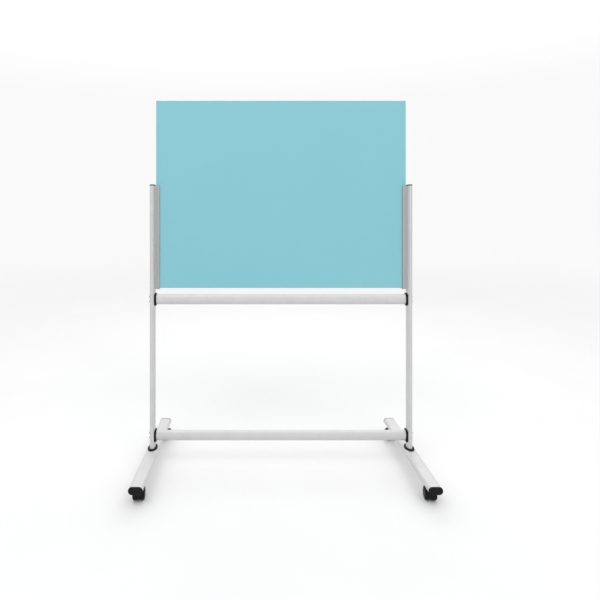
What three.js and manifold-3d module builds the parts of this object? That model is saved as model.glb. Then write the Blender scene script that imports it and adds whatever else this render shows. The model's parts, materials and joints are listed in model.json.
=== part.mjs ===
// A free-standing rolling whiteboard. A frameless double-sided glass writing board drops into two
// side channels, which are fixed to two oval uprights. Two oval crossbars tie the uprights together,
// and each upright stands on a flat-oval foot with a swivelling twin-wheel caster at either end.
//
// Millimetres. X runs to the right across the board, +Y to the back, +Z up. The origin lies on the
// floor, midway between the uprights.

import * as THREE from 'three';
import { mergeVertices } from 'three/addons/utils/BufferGeometryUtils.js';
import Module from 'manifold-3d';

const wasm = await Module();
wasm.setup();

// ---------------------------------------------------------------- driving dimensions

const GAP = 0.3; // between surfaces that touch
const PASS = 20; // how far a cutting tool runs past the piece

// Board: two sheets of tempered glass bonded to a steel sheet, which holds magnets.
const BOARD_WIDTH = 1219;
const BOARD_HEIGHT = 914;
const BOARD_BOTTOM = 876;
const GLASS_THICKNESS = 4;
const STEEL_THICKNESS = 0.9;
const BOND_LINE = 0.25;
const STEEL_INSET = 2;
const BOARD_THICKNESS = 2 * GLASS_THICKNESS + STEEL_THICKNESS + 2 * BOND_LINE;

// Oval tube of the uprights and the crossbars.
const OVAL_LONG = 50;
const OVAL_SHORT = 27;
const OVAL_WALL = 1.8;
const UPRIGHT_X = 627;
const UPRIGHT_TOP = 1375;
const MIDDLE_BAR_Z = 820.5;
const LOWER_BAR_Z = 155.5;

// Flat-oval tube of the feet.
const FOOT_WIDTH = 60;
const FOOT_HEIGHT = 32;
const FOOT_WALL = 2;
const FOOT_LENGTH = 651;
const FOOT_Z = 77.5;
const FOOT_TOP = FOOT_Z + FOOT_HEIGHT / 2;
const FOOT_BOTTOM = FOOT_Z - FOOT_HEIGHT / 2;

// Casters.
const CASTER_Y = 275;
const TRAIL = 20; // the axle lies this far behind the stem
const WHEEL_RADIUS = 25;
const WHEEL_WIDTH = 18;
const HALF_WEB = 6; // the web between the two wheels
const HOOD_RADIUS = 29;
const HOOD_WALL = 2.5;
const HALF_HOOD = 25;
const STEM_RADIUS = 3.5;
const AXLE_RADIUS = 2.5;

// ---------------------------------------------------------------- materials

const finish = (color, roughness, metalness) =>
  new THREE.MeshStandardMaterial({ color, roughness, metalness });

const AQUA_GLASS = finish(0x8ccad5, 0.25, 0);
const BACKING_STEEL = finish(0x9b9ea1, 0.45, 0.9);
const SILVER_PAINT = finish(0xd0d0cf, 0.4, 0.2);
const ALUMINIUM = finish(0xb4b7b9, 0.4, 0.8);
const BLACK_PLASTIC = finish(0x151516, 0.5, 0);
const BLACK_RUBBER = finish(0x1c1c1d, 0.85, 0);
const WHEEL_PLASTIC = finish(0x111112, 0.4, 0);
const ZINC_STEEL = finish(0xb9bbbd, 0.35, 0.9);

// ---------------------------------------------------------------- solids and booleans

function toSolid(geometry) {
  const bare = geometry.clone();
  bare.deleteAttribute('normal');
  bare.deleteAttribute('uv');
  const merged = mergeVertices(bare, 1e-4);
  return new wasm.Manifold(
    new wasm.Mesh({
      numProp: 3,
      vertProperties: merged.attributes.position.array,
      triVerts: new Uint32Array(merged.index.array),
    }),
  );
}

function toGeometry(solid) {
  const mesh = solid.getMesh();
  const geometry = new THREE.BufferGeometry();
  geometry.setAttribute('position', new THREE.BufferAttribute(mesh.vertProperties, 3));
  geometry.setIndex(new THREE.BufferAttribute(mesh.triVerts, 1));
  geometry.computeVertexNormals();
  return geometry;
}

const join = (...pieces) => toGeometry(pieces.map(toSolid).reduce((all, next) => all.add(next)));

const cut = (piece, ...tools) =>
  toGeometry(tools.map(toSolid).reduce((left, tool) => left.subtract(tool), toSolid(piece)));

// ---------------------------------------------------------------- outlines and basic forms

const degrees = THREE.MathUtils.degToRad;

const oval = (halfX, halfY, path = new THREE.Shape()) =>
  path.absellipse(0, 0, halfX, halfY, 0, 2 * Math.PI);

function flatOval(width, height, path = new THREE.Shape()) {
  const radius = height / 2;
  const reach = width / 2 - radius;
  path.absarc(reach, 0, radius, -Math.PI / 2, Math.PI / 2);
  path.absarc(-reach, 0, radius, Math.PI / 2, (3 * Math.PI) / 2);
  return path;
}

function roundedRectangle(halfX, halfY, radius) {
  const x = halfX - radius;
  const y = halfY - radius;
  const shape = new THREE.Shape();
  shape.absarc(x, -y, radius, -Math.PI / 2, 0);
  shape.absarc(x, y, radius, 0, Math.PI / 2);
  shape.absarc(-x, y, radius, Math.PI / 2, Math.PI);
  shape.absarc(-x, -y, radius, Math.PI, (3 * Math.PI) / 2);
  return shape;
}

// An extrusion along +Z from the plane z = 0.
const extrude = (shape, depth, curveSegments = 10) =>
  new THREE.ExtrudeGeometry(shape, { depth, curveSegments, bevelEnabled: false });

// The same with both of its ends chamfered.
function extrudeChamfered(shape, depth, chamfer, curveSegments = 10) {
  const bevel = {
    bevelThickness: chamfer,
    bevelSize: chamfer,
    bevelOffset: -chamfer,
    bevelSegments: 1,
  };
  const straight = { depth: depth - 2 * chamfer, curveSegments };
  return new THREE.ExtrudeGeometry(shape, { ...straight, ...bevel }).translate(0, 0, chamfer);
}

// Turns an extrusion so that its outline's x, y and depth lie along Y, Z and X.
const alongX = (geometry) => geometry.rotateX(Math.PI / 2).rotateZ(Math.PI / 2);

// Turns an extrusion so that its outline's x, y and depth lie along X, -Z and Y.
const alongY = (geometry) => geometry.rotateX(-Math.PI / 2);

// A solid of revolution about Z. Its profile lists [radius, height], from the bottom up.
function turned(profile, segments) {
  const points = profile.map(([radius, height]) => new THREE.Vector2(radius, height));
  return new THREE.LatheGeometry(points, segments).rotateX(Math.PI / 2);
}

const rod = (radius, from, to, segments = 12) =>
  turned([[0, from], [radius, from], [radius, to], [0, to]], segments);

const rodAlongX = (radius, from, to, segments = 12) =>
  rod(radius, from, to, segments).rotateY(Math.PI / 2);

const block = (sizeX, sizeY, sizeZ, x, y, z) =>
  new THREE.BoxGeometry(sizeX, sizeY, sizeZ).translate(x, y, z);

function node(name, geometry, material) {
  const mesh = new THREE.Mesh(geometry, material);
  mesh.name = name;
  return mesh;
}

// ---------------------------------------------------------------- board

const BOARD_Z = BOARD_BOTTOM + BOARD_HEIGHT / 2;
const GLASS_Y = (BOARD_THICKNESS - GLASS_THICKNESS) / 2;

function boardSheets() {
  // The glass is meshed in cells so that its middle is a face of its own.
  const glass = () => new THREE.BoxGeometry(BOARD_WIDTH, GLASS_THICKNESS, BOARD_HEIGHT, 3, 1, 2);
  const steel = new THREE.BoxGeometry(
    BOARD_WIDTH - 2 * STEEL_INSET,
    STEEL_THICKNESS,
    BOARD_HEIGHT - 2 * STEEL_INSET,
  );
  return [
    node('board_front_glass', glass().translate(0, -GLASS_Y, BOARD_Z), AQUA_GLASS),
    node('board_steel_sheet', steel.translate(0, 0, BOARD_Z), BACKING_STEEL),
    node('board_rear_glass', glass().translate(0, GLASS_Y, BOARD_Z), AQUA_GLASS),
  ];
}

// ---------------------------------------------------------------- uprights
// Everything from here to the crossbars is built once for each side, about the upright's axis,
// with +X pointing to the middle of the board.

const HALF_SHORT = OVAL_SHORT / 2;
const HALF_LONG = OVAL_LONG / 2;
const COLLAR_RISE = 5; // the base collar stands this far above the foot
const UPRIGHT_BOTTOM = FOOT_TOP + COLLAR_RISE + GAP;
const SCREW_RISE = 11.5; // a pair of screws lies this far above and below a crossbar's axis
const SCREW_RADIUS = 3;
const BAR_HEIGHTS = { middle: MIDDLE_BAR_Z, lower: LOWER_BAR_Z };

const uprightOutline = (offset, path) => oval(HALF_SHORT + offset, HALF_LONG + offset, path);

function uprightTube() {
  const shape = uprightOutline(0);
  shape.holes.push(uprightOutline(-OVAL_WALL, new THREE.Path()));
  const tube = extrude(shape, UPRIGHT_TOP - UPRIGHT_BOTTOM).translate(0, 0, UPRIGHT_BOTTOM);
  const holes = Object.values(BAR_HEIGHTS).flatMap((height) =>
    [-SCREW_RISE, SCREW_RISE].map((rise) =>
      rodAlongX(SCREW_RADIUS + GAP, -PASS, PASS, 8).translate(0, 0, height + rise),
    ),
  );
  return cut(tube, ...holes);
}

function uprightCap() {
  const lip = 0.6; // the cap's flange stands proud of the tube by this much
  const thickness = 5.5;
  const chamfer = 1.6;
  const plugDepth = 18;
  const flange = extrudeChamfered(uprightOutline(lip), thickness, chamfer);
  const plug = extrude(uprightOutline(-OVAL_WALL - GAP), plugDepth + thickness / 2);
  return join(flange.translate(0, 0, UPRIGHT_TOP + GAP), plug.translate(0, 0, UPRIGHT_TOP - plugDepth));
}

// ---------------------------------------------------------------- side channels and liners

const CHANNEL_WALL = 1.8;
const CHANNEL_WEB_X = 16; // the slot's bottom, from the upright's axis
const CHANNEL_TIP_X = 35;
const HALF_SLOT = 8.2;
const CHANNEL_BOTTOM = 871;
const FLOOR_THICKNESS = 2;
const BOARD_EDGE_X = UPRIGHT_X - BOARD_WIDTH / 2;
const LINER_TIP_X = CHANNEL_TIP_X - 1;

// A U-shaped outline that opens towards +X, with its outer and inner walls at the given places.
function uOutline(backX, webX, tipX, outerY, innerY) {
  const shape = new THREE.Shape();
  shape.moveTo(backX, -outerY);
  shape.lineTo(tipX, -outerY);
  shape.lineTo(tipX, -innerY);
  shape.lineTo(webX, -innerY);
  shape.lineTo(webX, innerY);
  shape.lineTo(tipX, innerY);
  shape.lineTo(tipX, outerY);
  shape.lineTo(backX, outerY);
  shape.closePath();
  return shape;
}

// An aluminium extrusion whose back fits the round of the upright. Its floor carries the board.
function sideChannel() {
  const outerY = HALF_SLOT + CHANNEL_WALL;
  const height = UPRIGHT_TOP - CHANNEL_BOTTOM;
  const profile = uOutline(HALF_SHORT / 2, CHANNEL_WEB_X, CHANNEL_TIP_X, outerY, HALF_SLOT);
  const length = CHANNEL_TIP_X - HALF_SHORT;
  const floorX = CHANNEL_TIP_X - length / 2;
  const floor = block(length, 2 * outerY, FLOOR_THICKNESS, floorX, 0, FLOOR_THICKNESS / 2);
  const upright = extrude(uprightOutline(GAP), height + 2 * PASS).translate(0, 0, -PASS);
  return cut(join(extrude(profile, height), floor), upright).translate(0, 0, CHANNEL_BOTTOM);
}

// A rubber lining with a floor of its own, on which the board's lower corner stands.
function channelLiner() {
  const from = CHANNEL_BOTTOM + FLOOR_THICKNESS + GAP;
  const outerY = HALF_SLOT - GAP;
  const webX = BOARD_EDGE_X - GAP;
  const innerY = BOARD_THICKNESS / 2 + GAP;
  const backX = CHANNEL_WEB_X + GAP;
  const profile = uOutline(backX, webX, LINER_TIP_X, outerY, innerY);
  const padHeight = BOARD_BOTTOM - GAP - from;
  const padX = (LINER_TIP_X + backX) / 2;
  const pad = block(LINER_TIP_X - backX, 2 * outerY, padHeight, padX, 0, padHeight / 2);
  return join(extrude(profile, UPRIGHT_TOP - from), pad).translate(0, 0, from);
}

// ---------------------------------------------------------------- crossbar connectors and screws

const FLANGE_X = HALF_SHORT + 5; // the connector's flange ends here and the crossbar begins
const FLANGE_HALF_Y = 18;
const FLANGE_HALF_Z = 31;
const FLANGE_CORNER = 12;
const FLANGE_CHAMFER = 2.4;
const SPIGOT_LENGTH = 42;

const SCREW_TIP = FLANGE_X + SPIGOT_LENGTH / 2;
const SPARE_BORE = 10; // how far the bores run past the tips of the screws

// A moulded saddle: a flange that fits round the upright, and a spigot that fills the crossbar's end.
function connector() {
  const outline = roundedRectangle(FLANGE_HALF_Y, FLANGE_HALF_Z, FLANGE_CORNER);
  const flange = alongX(extrudeChamfered(outline, FLANGE_X, FLANGE_CHAMFER, 3));
  const spigotOutline = uprightOutline(-OVAL_WALL - GAP);
  const spigot = alongX(extrude(spigotOutline, SPIGOT_LENGTH + FLANGE_X / 2));
  const body = join(flange, spigot.translate(FLANGE_X / 2, 0, 0));
  const upright = extrude(uprightOutline(GAP), 6 * PASS).translate(0, 0, -3 * PASS);
  const bores = [-SCREW_RISE, SCREW_RISE].map((rise) =>
    rodAlongX(SCREW_RADIUS + GAP, 0, SCREW_TIP + SPARE_BORE, 8).translate(0, 0, rise),
  );
  return cut(body, upright, ...bores);
}

// A button-head screw along +X, from the outer face of the upright to the middle of the spigot.
function crossbarScrew() {
  const headRadius = 5.6;
  const headHeight = 3.4;
  const socketRadius = 2;
  const socketDepth = 1.8;
  const seat = -HALF_SHORT - GAP;
  const profile = [
    [0, seat - headHeight],
    [0.64 * headRadius, seat - 0.9 * headHeight],
    [0.96 * headRadius, seat - 0.4 * headHeight],
    [headRadius, seat],
    [SCREW_RADIUS, seat],
    [SCREW_RADIUS, SCREW_TIP - 1],
    [SCREW_RADIUS - 1, SCREW_TIP],
    [0, SCREW_TIP],
  ];
  const hexagon = new THREE.CylinderGeometry(socketRadius, socketRadius, 2 * socketDepth, 6);
  const socket = hexagon.rotateZ(Math.PI / 2).translate(seat - headHeight, 0, 0);
  return cut(turned(profile, 8).rotateY(Math.PI / 2), socket);
}

// ---------------------------------------------------------------- feet

const FOOT_SEGMENTS = 6; // curve segments of the foot's round edges
const BOLT_Y = 13;
const BOLT_RADIUS = 4;
const BOLT_TIP = FOOT_TOP + COLLAR_RISE + 30;
const STEM_THREAD_RADIUS = 5;
const STEM_TOP = FOOT_TOP - 7;

const footOutline = (offset, path) =>
  flatOval(FOOT_WIDTH + 2 * offset, FOOT_HEIGHT + 2 * offset, path);

// A length of the foot's outline along Y, from y = 0, at the foot's height.
const footForm = (offset, length) =>
  alongY(extrude(footOutline(offset), length, FOOT_SEGMENTS)).translate(0, 0, FOOT_Z);

function footTube() {
  const shape = footOutline(0);
  shape.holes.push(footOutline(-FOOT_WALL, new THREE.Path()));
  const tube = alongY(extrude(shape, FOOT_LENGTH, FOOT_SEGMENTS)).translate(0, -FOOT_LENGTH / 2, FOOT_Z);
  const boltHoles = [-BOLT_Y, BOLT_Y].map((y) =>
    rod(BOLT_RADIUS + GAP, FOOT_BOTTOM - PASS, FOOT_TOP + PASS, 8).translate(0, y, 0),
  );
  const stemHoles = [-CASTER_Y, CASTER_Y].map((y) =>
    rod(STEM_THREAD_RADIUS + GAP, FOOT_BOTTOM - PASS, FOOT_Z).translate(0, y, 0),
  );
  return cut(tube, ...boltHoles, ...stemHoles);
}

// The moulded plug in a foot's end, here the end at +Y. Its boss takes the caster's stem.
function footPlug() {
  const end = FOOT_LENGTH / 2;
  const cheek = 3; // wall of the hollow plug
  const plugLength = 78;
  const bodyOffset = -FOOT_WALL - GAP;
  const capLip = 0.7; // the cap stands proud of the tube by this much
  const capThickness = 4.5;
  const capChamfer = 2;
  const bossRadius = 9;
  const cap = alongY(extrudeChamfered(footOutline(capLip), capThickness, capChamfer, FOOT_SEGMENTS));
  const shell = cut(
    footForm(bodyOffset, plugLength + capThickness / 2).translate(0, end - plugLength, 0),
    footForm(bodyOffset - cheek, plugLength).translate(0, end - plugLength - cheek, 0),
  );
  const bossHalfHeight = FOOT_HEIGHT / 2 + bodyOffset;
  const boss = rod(bossRadius, FOOT_Z - bossHalfHeight, FOOT_Z + bossHalfHeight, 16);
  const bore = rod(STEM_THREAD_RADIUS + GAP, FOOT_BOTTOM - PASS, STEM_TOP + 1);
  const solid = join(shell, cap.translate(0, end + GAP, FOOT_Z), boss.translate(0, CASTER_Y, 0));
  return cut(solid, bore.translate(0, CASTER_Y, 0));
}

// The moulded collar between an upright and its foot, with a spigot up into the upright.
function baseCollar() {
  const spigotHeight = 42;
  const halfX = 23;
  const halfY = 37;
  const skirt = 8; // the collar's edge reaches down past the foot's flat top
  const chamfer = 2.2;
  const root = 2; // the spigot starts this far inside the flange
  const spareBore = 6;
  const flange = extrudeChamfered(oval(halfX, halfY), COLLAR_RISE + skirt, chamfer);
  const spigot = extrude(uprightOutline(-OVAL_WALL - GAP), spigotHeight + root);
  const solid = join(
    flange.translate(0, 0, FOOT_TOP - skirt),
    spigot.translate(0, 0, FOOT_TOP + COLLAR_RISE - root),
  );
  const bores = [-BOLT_Y, BOLT_Y].map((y) =>
    rod(BOLT_RADIUS + GAP, FOOT_BOTTOM, BOLT_TIP + spareBore, 8).translate(0, y, 0),
  );
  return cut(solid, footForm(GAP, 4 * halfY).translate(0, -2 * halfY, 0), ...bores);
}

// A hexagon-head bolt up through the foot and the collar.
function baseBolt() {
  const headRadius = 7.5;
  const headHeight = 5;
  const seat = FOOT_BOTTOM - GAP;
  const hexagon = new THREE.CylinderGeometry(headRadius, headRadius, headHeight, 6).rotateX(Math.PI / 2);
  const head = hexagon.translate(0, 0, seat - headHeight / 2);
  return join(head, rod(BOLT_RADIUS, seat - headHeight / 2, BOLT_TIP, 8));
}

// ---------------------------------------------------------------- one side of the frame

function frameSide(name, direction) {
  const side = new THREE.Group();
  side.position.x = direction * UPRIGHT_X;
  side.rotation.z = direction > 0 ? Math.PI : 0;
  side.add(
    node(`${name}_upright`, uprightTube(), SILVER_PAINT),
    node(`${name}_upright_cap`, uprightCap(), BLACK_PLASTIC),
    node(`${name}_side_channel`, sideChannel(), ALUMINIUM),
    node(`${name}_channel_liner`, channelLiner(), BLACK_RUBBER),
    node(`${name}_foot`, footTube(), SILVER_PAINT),
    node(`${name}_base_collar`, baseCollar(), BLACK_PLASTIC),
  );
  for (const [bar, height] of Object.entries(BAR_HEIGHTS)) {
    const joint = node(`${name}_${bar}_connector`, connector(), BLACK_PLASTIC);
    joint.position.z = height;
    side.add(joint);
    for (const [place, rise] of [['upper', SCREW_RISE], ['lower', -SCREW_RISE]]) {
      const screw = node(`${name}_${bar}_bar_${place}_screw`, crossbarScrew(), ZINC_STEEL);
      screw.position.z = height + rise;
      side.add(screw);
    }
  }
  // The +Y end of a side is the back on the left and, because the right side is turned, the front there.
  for (const turn of [0, 1]) {
    const end = (turn === 0) === (direction < 0) ? 'rear' : 'front';
    const plug = node(`${name}_${end}_foot_plug`, footPlug(), BLACK_PLASTIC);
    plug.rotation.z = turn * Math.PI;
    const bolt = node(`${name}_${end}_base_bolt`, baseBolt(), ZINC_STEEL);
    bolt.position.y = turn === 0 ? BOLT_Y : -BOLT_Y;
    side.add(plug, bolt);
  }
  return side;
}

// ---------------------------------------------------------------- crossbars

function crossbar(name, height) {
  const length = 2 * (UPRIGHT_X - FLANGE_X - GAP);
  const shape = oval(HALF_SHORT, HALF_LONG);
  shape.holes.push(oval(HALF_SHORT - OVAL_WALL, HALF_LONG - OVAL_WALL, new THREE.Path()));
  const bar = node(name, alongX(extrude(shape, length)).translate(-length / 2, 0, 0), SILVER_PAINT);
  bar.position.z = height;
  return bar;
}

// ---------------------------------------------------------------- casters
// Each caster is built about its stem's axis, with the wheels trailing towards +Y.

const AXLE_Z = WHEEL_RADIUS;
const BOSS_TOP = 56;
const STEM_FLANGE_BOTTOM = 57;
const STEM_BOTTOM = 30;
const WHEEL_INNER_X = HALF_WEB + 0.6;
const HOOD_START = degrees(205); // angles about the axle, from +Y up
const HOOD_END = degrees(30);
const HINGE_ANGLE = degrees(50); // where the brake pedal hinges on the hood's rim
const BRAKED_WEB_END = degrees(75);
const HINGE_Y = TRAIL + HOOD_RADIUS * Math.cos(HINGE_ANGLE);
const HINGE_Z = AXLE_Z + HOOD_RADIUS * Math.sin(HINGE_ANGLE);
const BARREL_RADIUS = 3.2;
const HALF_BARREL = 8;
const PINTLE_RADIUS = 1.5;
const PINTLE_REACH = 11;
const BEARING_PLAY = 0.4;
const AXLE_PLAY = 0.2;

// The fixed pin that the housing turns on, with its flange against the foot and its thread above.
function casterStem() {
  const flangeRadius = 9.5;
  const flangeTop = FOOT_BOTTOM - GAP;
  return turned(
    [
      [0, STEM_BOTTOM],
      [STEM_RADIUS, STEM_BOTTOM],
      [STEM_RADIUS, STEM_FLANGE_BOTTOM],
      [flangeRadius, STEM_FLANGE_BOTTOM],
      [flangeRadius, flangeTop],
      [STEM_THREAD_RADIUS, flangeTop],
      [STEM_THREAD_RADIUS, STEM_TOP - 1],
      [STEM_THREAD_RADIUS - 1, STEM_TOP],
      [0, STEM_TOP],
    ],
    12,
  );
}

// A hood over both wheels, a web between them down to the axle, and a boss round the stem.
function casterHousing(braked) {
  const hubRadius = 9;
  const bossRadius = 10;
  const bossRoot = 6; // the boss starts this far inside the hood
  const hoodEnd = braked ? HINGE_ANGLE : HOOD_END;
  const webEnd = braked ? BRAKED_WEB_END : HOOD_END;
  const innerRadius = HOOD_RADIUS - HOOD_WALL;
  const arc = new THREE.Shape();
  arc.absarc(TRAIL, AXLE_Z, HOOD_RADIUS, hoodEnd, HOOD_START);
  arc.absarc(TRAIL, AXLE_Z, innerRadius, HOOD_START, hoodEnd, true);
  const hood = alongX(extrude(arc, 2 * HALF_HOOD, 8)).translate(-HALF_HOOD, 0, 0);
  const sector = new THREE.Shape();
  sector.absarc(TRAIL, AXLE_Z, HOOD_RADIUS - 1, webEnd, HOOD_START);
  sector.lineTo(TRAIL, AXLE_Z);
  const hub = new THREE.Shape().absarc(TRAIL, AXLE_Z, hubRadius, 0, 2 * Math.PI);
  const webOf = (shape) => alongX(extrude(shape, 2 * HALF_WEB, 6)).translate(-HALF_WEB, 0, 0);
  const boss = rod(bossRadius, AXLE_Z + innerRadius - bossRoot, BOSS_TOP, 16);
  // The boss is trimmed to the hood's inner radius, clear of the wheels.
  const wheelRoom = rodAlongX(innerRadius, -PASS, PASS, 32).translate(0, TRAIL, AXLE_Z);
  const bores = [
    rod(STEM_RADIUS + BEARING_PLAY, STEM_BOTTOM - 2, BOSS_TOP + PASS),
    rodAlongX(AXLE_RADIUS + AXLE_PLAY, -PASS, PASS).translate(0, TRAIL, AXLE_Z),
  ];
  const body = join(cut(boss, wheelRoom), hood, webOf(sector), webOf(hub));
  if (!braked) return cut(body, ...bores);
  const hinge = (radius, reach) => rodAlongX(radius, -reach, reach).translate(0, HINGE_Y, HINGE_Z);
  const ears = hinge(BARREL_RADIUS, PINTLE_REACH + 2);
  const slotSize = 16;
  const slot = block(2 * (HALF_BARREL + GAP), slotSize, slotSize, 0, HINGE_Y + 2, HINGE_Z);
  return cut(join(body, ears), slot, hinge(PINTLE_RADIUS + GAP, PINTLE_REACH + GAP), ...bores);
}

// One wheel about the axle, on the +X side, with round shoulders and a dished outer face.
function casterWheel() {
  const inner = WHEEL_INNER_X;
  const outer = WHEEL_INNER_X + WHEEL_WIDTH;
  const bore = AXLE_RADIUS + GAP;
  const shoulderWidth = 5;
  const shoulderDrop = 4;
  const dishRadius = 17;
  const dishDepth = 2.5;
  const profile = [
    [bore, inner],
    [WHEEL_RADIUS, inner],
    [WHEEL_RADIUS, outer - shoulderWidth],
    [WHEEL_RADIUS - shoulderDrop, outer],
    [dishRadius, outer],
    [dishRadius - 1.5, outer - dishDepth],
    [bore, outer - dishDepth],
    [bore, inner],
  ];
  return turned(profile, 28).rotateY(Math.PI / 2);
}

// A foot-operated lever hinged on the hood's rim, with a lug that wedges between the wheels.
function brakePedal() {
  const leverLength = 19;
  const thickness = 3;
  const raised = degrees(15); // above the hood's tangent when released
  const slope = HINGE_ANGLE - Math.PI / 2 + raised;
  const leverZ = 1.2; // the lever's middle, above the hinge's axis
  const tipRadius = 2.6;
  const halfTip = 10;
  const lugLength = 5;
  const lugDepth = 8;
  const lever = block(2 * HALF_BARREL, leverLength, thickness, 0, leverLength / 2 + 1.5, leverZ);
  const tip = rodAlongX(tipRadius, -halfTip, halfTip).translate(0, leverLength + 1, leverZ);
  const lug = block(2 * HALF_WEB - 2, lugLength, lugDepth, 0, 1, -lugDepth / 2);
  const barrel = rodAlongX(BARREL_RADIUS, -HALF_BARREL, HALF_BARREL);
  const pintles = rodAlongX(PINTLE_RADIUS, -PINTLE_REACH, PINTLE_REACH);
  return join(barrel, pintles, lever, tip, lug).rotateX(slope).translate(0, HINGE_Y, HINGE_Z);
}

function caster(name, x, y, heading, braked) {
  const group = new THREE.Group();
  group.position.set(x, y, 0);
  group.rotation.z = degrees(heading);
  const halfAxle = HALF_HOOD - 4;
  const axle = rodAlongX(AXLE_RADIUS, -halfAxle, halfAxle).translate(0, TRAIL, AXLE_Z);
  group.add(
    node(`${name}_caster_stem`, casterStem(), ZINC_STEEL),
    node(`${name}_caster_housing`, casterHousing(braked), BLACK_PLASTIC),
    node(`${name}_caster_axle`, axle, ZINC_STEEL),
  );
  for (const [hand, turn] of [['right', 0], ['left', Math.PI]]) {
    const wheel = node(`${name}_caster_${hand}_wheel`, casterWheel(), WHEEL_PLASTIC);
    wheel.position.set(0, TRAIL, AXLE_Z);
    wheel.rotation.z = turn;
    group.add(wheel);
  }
  if (braked) group.add(node(`${name}_caster_brake_pedal`, brakePedal(), BLACK_PLASTIC));
  return group;
}

// ---------------------------------------------------------------- the whole whiteboard

const whiteboard = new THREE.Group();
whiteboard.add(
  ...boardSheets(),
  frameSide('left', -1),
  frameSide('right', 1),
  crossbar('middle_crossbar', MIDDLE_BAR_Z),
  crossbar('lower_crossbar', LOWER_BAR_Z),
  // Casters stand as they were left when the board was last pushed. Headings are in degrees.
  caster('front_left', -UPRIGHT_X, -CASTER_Y, 6, true),
  caster('front_right', UPRIGHT_X, -CASTER_Y, -8, true),
  caster('rear_left', -UPRIGHT_X, CASTER_Y, -15, false),
  caster('rear_right', UPRIGHT_X, CASTER_Y, 60, false),
);

export default whiteboard;
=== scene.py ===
# Looks for the rolling whiteboard: smooth oval tubes, moulded fittings, a painted glass panel and
# twin-wheel casters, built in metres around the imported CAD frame.

import json
import math
from collections import namedtuple

import bmesh
import bpy
from mathutils import Matrix, Vector


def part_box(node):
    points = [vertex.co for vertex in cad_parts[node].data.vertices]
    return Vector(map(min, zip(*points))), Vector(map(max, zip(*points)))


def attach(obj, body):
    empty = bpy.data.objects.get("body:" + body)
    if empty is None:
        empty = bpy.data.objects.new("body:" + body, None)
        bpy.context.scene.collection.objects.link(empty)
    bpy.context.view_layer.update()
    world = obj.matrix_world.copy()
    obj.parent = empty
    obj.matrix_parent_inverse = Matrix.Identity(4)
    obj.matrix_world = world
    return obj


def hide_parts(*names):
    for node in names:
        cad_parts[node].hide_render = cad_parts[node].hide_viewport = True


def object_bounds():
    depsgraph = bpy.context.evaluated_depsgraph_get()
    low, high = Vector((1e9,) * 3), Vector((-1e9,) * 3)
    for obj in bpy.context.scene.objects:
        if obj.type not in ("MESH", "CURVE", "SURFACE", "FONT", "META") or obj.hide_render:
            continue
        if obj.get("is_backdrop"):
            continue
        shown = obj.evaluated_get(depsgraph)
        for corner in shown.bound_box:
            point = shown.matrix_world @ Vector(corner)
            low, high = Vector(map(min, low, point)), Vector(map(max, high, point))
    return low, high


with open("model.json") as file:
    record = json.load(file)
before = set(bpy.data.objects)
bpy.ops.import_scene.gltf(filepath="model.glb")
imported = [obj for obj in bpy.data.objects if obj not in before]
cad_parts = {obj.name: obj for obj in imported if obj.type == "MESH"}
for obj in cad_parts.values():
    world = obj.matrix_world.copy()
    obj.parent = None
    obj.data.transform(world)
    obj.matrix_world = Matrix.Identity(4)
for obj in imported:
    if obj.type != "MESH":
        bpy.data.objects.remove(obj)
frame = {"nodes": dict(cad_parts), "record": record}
CAD_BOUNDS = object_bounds()
JOINTS = {joint["name"]: joint for joint in frame["record"]["behaviour"]["joints"]}

MM = 0.001
TAU = 2 * math.pi
SIDES = (("left", 1), ("right", -1))  # the second value points from the upright to the middle
BARS = ("middle", "lower")
ENDS = (("front", -1), ("rear", 1))
CORNERS = ("front_left", "front_right", "rear_left", "rear_right")
BRAKED = ("front_left", "front_right")

GAP = 0.3 * MM
OVAL_WALL = 1.8 * MM
FOOT_WALL = 2.0 * MM
EDGE = 0.35 * MM  # the rounding on a cut tube's edge
SPIGOT = -OVAL_WALL - GAP  # a spigot's offset from the outline of the tube that it fills
WELD = 1e-7  # points closer than this, in metres, are one


# ---------------------------------------------------------------- the frame's own sizes


Span = namedtuple("Span", "low high middle size")


def span(node):
    """A node's box at rest: its lowest and highest corners, its middle and its size."""
    low, high = (Vector(corner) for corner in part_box(node))
    return Span(low, high, (low + high) / 2, high - low)


# ---------------------------------------------------------------- mesh helpers


def finish_mesh(name, bm, body, replaced, materials, sharp=35):
    """Turns a bmesh into a shaded piece that rides on its body and stands for CAD nodes."""
    bmesh.ops.remove_doubles(bm, verts=bm.verts, dist=WELD)
    bmesh.ops.recalc_face_normals(bm, faces=bm.faces)
    mesh = bpy.data.meshes.new(name)
    bm.to_mesh(mesh)
    bm.free()
    for polygon in mesh.polygons:
        polygon.use_smooth = True
    mesh.set_sharp_from_angle(angle=math.radians(sharp))
    piece = bpy.data.objects.new(name, mesh)
    bpy.context.scene.collection.objects.link(piece)
    for material in materials:
        mesh.materials.append(material)
    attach(piece, body)
    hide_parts(*replaced)
    return piece


def loft(sections, loop=False):
    """Joins sections of equally many points. A loop's last one joins its first, else both are capped."""
    bm = bmesh.new()
    rows = [[bm.verts.new(point) for point in section] for section in sections]
    count = len(rows[0])
    pairs = list(zip(rows, rows[1:])) + ([(rows[-1], rows[0])] if loop else [])
    for row, following in pairs:
        for i in range(count):
            j = (i + 1) % count
            bm.faces.new((row[i], row[j], following[j], following[i]))
    if not loop:
        bm.faces.new(rows[0])
        bm.faces.new(rows[-1])
    return bm


def circle(radius, count=48):
    return [(radius * math.cos(TAU * i / count), radius * math.sin(TAU * i / count)) for i in range(count)]


def ellipse(half_u, half_v, count=72):
    return lambda offset: [
        ((half_u + offset) * math.cos(TAU * i / count), (half_v + offset) * math.sin(TAU * i / count))
        for i in range(count)
    ]


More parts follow.
